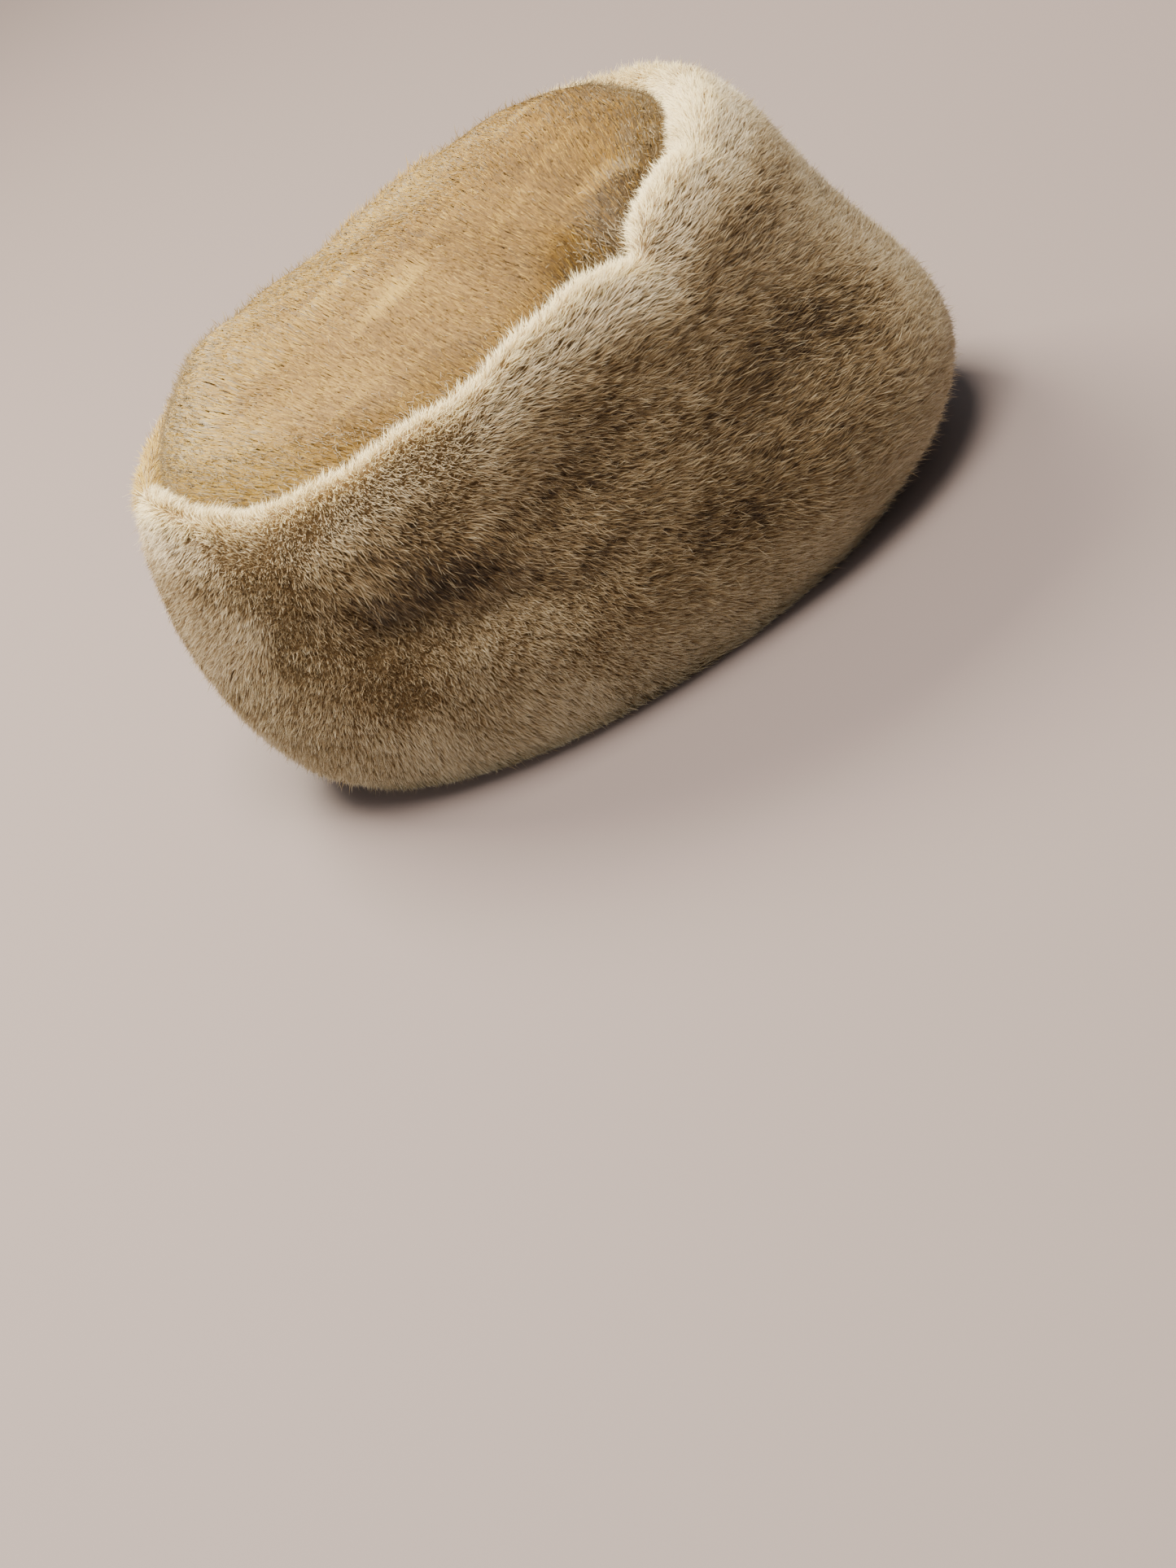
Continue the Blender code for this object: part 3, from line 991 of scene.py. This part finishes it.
# Shares of the hairs that take the paler, greyer copy of the pile, as painted light at the far
# side, the back and the front.
PAINTED_LIGHT_STEPS = (
    # direction x, y (left, back), from mm, to mm, share of the hairs
    (1, 0, -30, 60, 0.42),
    (0, 1, 60, 105, 0.35),
    (0, -1, 48, 80, 0.70),
    (-0.7, -0.7, 58, 74, 0.70),
)
MOST_PAINTED_LIGHT = 0.75
CROWN_TONE, CROWN_GRAIN, CROWN_TONE_SEED = 0.31, 0.06, 71
GLINT_TONE, GLINT_SIZE, GLINTS_SHOW = 0.22, 9 * MM, (0.5, 1.6)
CROWN_TONE_LAYERS = ((0.05, 24, 73), (0.05, 1.2, 74))
PALE_HAIRS, PALE_HAIR_TONE = 0.12, 0.25
CROWN_GROWTH, FLAT_TOP_GROWTH, CROWN_STRAY = 1.1, 0.6, 0.03
FLAT_TOP_UP = (0.2, 0.85)


def steps_at(points, steps):
    """The sum of some smooth steps at each point."""
    total = np.zeros(len(points))
    for x, y, low, high, change in steps:
        total += change * eased((points[:, 0] * x + points[:, 1] * y) / MM, low, high)
    return total


def crown_tone(points, normals):
    """Tone of the crown's hairs: painted shade and light in smooth steps, a few painted glints, and
    a random part.
    """
    random = np.random.default_rng(CROWN_TONE_SEED)
    glints = GLINT_TONE * eased(waves(points * (1, 0.5, 1), GLINT_SIZE, 72), *GLINTS_SHOW)
    grain = random.normal(0, CROWN_GRAIN, len(points))
    grain += PALE_HAIR_TONE * (random.random(len(points)) < PALE_HAIRS)
    patches = mottled(points, CROWN_TONE_LAYERS)
    return CROWN_TONE + steps_at(points, CROWN_SHADE_AND_LIGHT_STEPS) + glints + patches + grain


def crown_growth(points, normals):
    """How much the hairs grow and stray: longer than on the band, and in better order."""
    return CROWN_GROWTH + FLAT_TOP_GROWTH * eased(normals[:, 2], *FLAT_TOP_UP), CROWN_STRAY


# %% Grow the crown's pile
CROWN_PER_MM2, CROWN_PULL, CROWN_SEED = 3.6, 0.10, 80
CROWN_ROLL, CROWN_SLEEK = 0.35, 1.0
BEND_HEIGHT, LOWEST_TIP, HIGHEST_TIP = 0.1 * MM, -0.3 * MM, 0.3 * MM
places, hairs, normals, tones = grow(
    crown_skin, crown_nap, crown_tone, crown_growth, CROWN_PER_MM2, CROWN_PULL, CROWN_SEED)
tip_heights = np.random.default_rng(CROWN_SEED + 8).uniform(LOWEST_TIP, HIGHEST_TIP, len(hairs))
normals = lay_down(hairs, crown_skin, BEND_HEIGHT, tip_heights)
# Some hairs take the painted light copy of the crown's pile.
painted_light_share = np.minimum(steps_at(places, PAINTED_LIGHT_STEPS), MOST_PAINTED_LIGHT)
painted_light_hairs = np.random.default_rng(CROWN_SEED + 9).random(len(places)) < painted_light_share
in_front = places[:, 1] < 0
CROWN_PARTS = (
    # name, its hairs, material
    ("crown_pile_front", ~painted_light_hairs & in_front, crown_pile),
    ("crown_pile_back", ~painted_light_hairs & ~in_front, crown_pile),
    ("crown_pile_painted_light", painted_light_hairs, crown_pile_painted_light),
)
for number, (name, chosen, material) in enumerate(CROWN_PARTS):
    pile_piece(name, hairs[chosen], normals[chosen], tones[chosen],
               widths(places[chosen], RIBBON_WIDTH, CROWN_SEED + 10 + number), material,
               CROWN_SEED + 13 + number, roll_by=CROWN_ROLL, sleek=CROWN_SLEEK)

# %% [markdown]
# ## Guard hairs
#
# Here and there a longer, stiffer fibre stands out of the pile. They are thin, and closest
# together along the ridge and round the edge of the crown, where they blur the hat's outline
# as the real one's is blurred. Each hair of an even scatter is kept or left out by chance, so
# that their number can change from place to place.

# %% Scatter guard hairs
GUARD_LENGTH, GUARD_WIDTH = 9.0 * MM, 0.17 * MM
MOST_GUARDS = 1.3
BAND_GUARDS, MORE_ON_CREST, MORE_AT_HEM, MORE_IN_FRONT = 0.28, 0.50, 0.30, 0.30
CROWN_GUARDS, MORE_AT_EDGE = 0.05, 1.25
HEM_SHARES, FRONT_DEGREES, CROWN_EDGE_UP = (0.25, 0.05), (55, 25), (0.97, 0.85)
BAND_RISE_MM, CREST_LESS_MM = 5.2, 0.8
CROWN_RISE_MM, EDGE_LESS_MM = 4.4, 0.6
GUARD_LEAN, GUARD_RISE, GUARD_TONES = (0.35, 0.9), (0.75, 1.15), 0.4
BAND_GUARD_SEED, CROWN_GUARD_SEED = 100, 110


def band_guards(points, normals):
    """Guard hairs per square mm on the band, and how far they rise above their roots."""
    crest = crest_of(points, normals)
    hem = eased(share_of(points), *HEM_SHARES)
    front = eased(np.abs(degrees_from(angle_of(points), 0)), *FRONT_DEGREES)
    per_mm2 = BAND_GUARDS + MORE_ON_CREST * crest + MORE_AT_HEM * hem + MORE_IN_FRONT * front
    return per_mm2, (BAND_RISE_MM - CREST_LESS_MM * crest) * MM


def crown_guards(points, normals):
    """Guard hairs per square mm on the crown, and how far they rise above their roots."""
    edge = eased(normals[:, 2], *CROWN_EDGE_UP)
    return CROWN_GUARDS + MORE_AT_EDGE * edge, (CROWN_RISE_MM - EDGE_LESS_MM * edge) * MM


def guard_hairs(name, skin, nap_of, guards_of, palest, material, seed):
    """Long thin hairs over a skin, paler than the pile: partly their own colour, partly painted
    glints.
    """
    random = np.random.default_rng(seed)
    places, normals = scatter(skin, MOST_GUARDS, seed + 1)
    per_mm2, rise = guards_of(places, normals)
    keep = random.random(len(places)) * MOST_GUARDS < per_mm2
    places, normals, rise = places[keep], normals[keep], rise[keep]
    nap, lean = nap_of(places, normals)
    lean = lean * random.uniform(*GUARD_LEAN, len(places))
    rise = (rise * random.uniform(*GUARD_RISE, len(places)))[:, None]
    hairs = bent_hairs(places, normals, nap, lean, seed + 2, length=GUARD_LENGTH, rise=rise)
    tones = random.uniform(palest - GUARD_TONES, palest, len(places))
    pile_piece(name, hairs, normals, tones, widths(places, GUARD_WIDTH, seed + 3), material,
               seed + 4)


guard_hairs("band_guard_hairs", band_skin, band_nap, band_guards, 1.0, band_pile,
            BAND_GUARD_SEED)
guard_hairs("crown_guard_hairs", crown_skin, crown_nap, crown_guards, 0.8, crown_pile_painted_light,
            CROWN_GUARD_SEED)
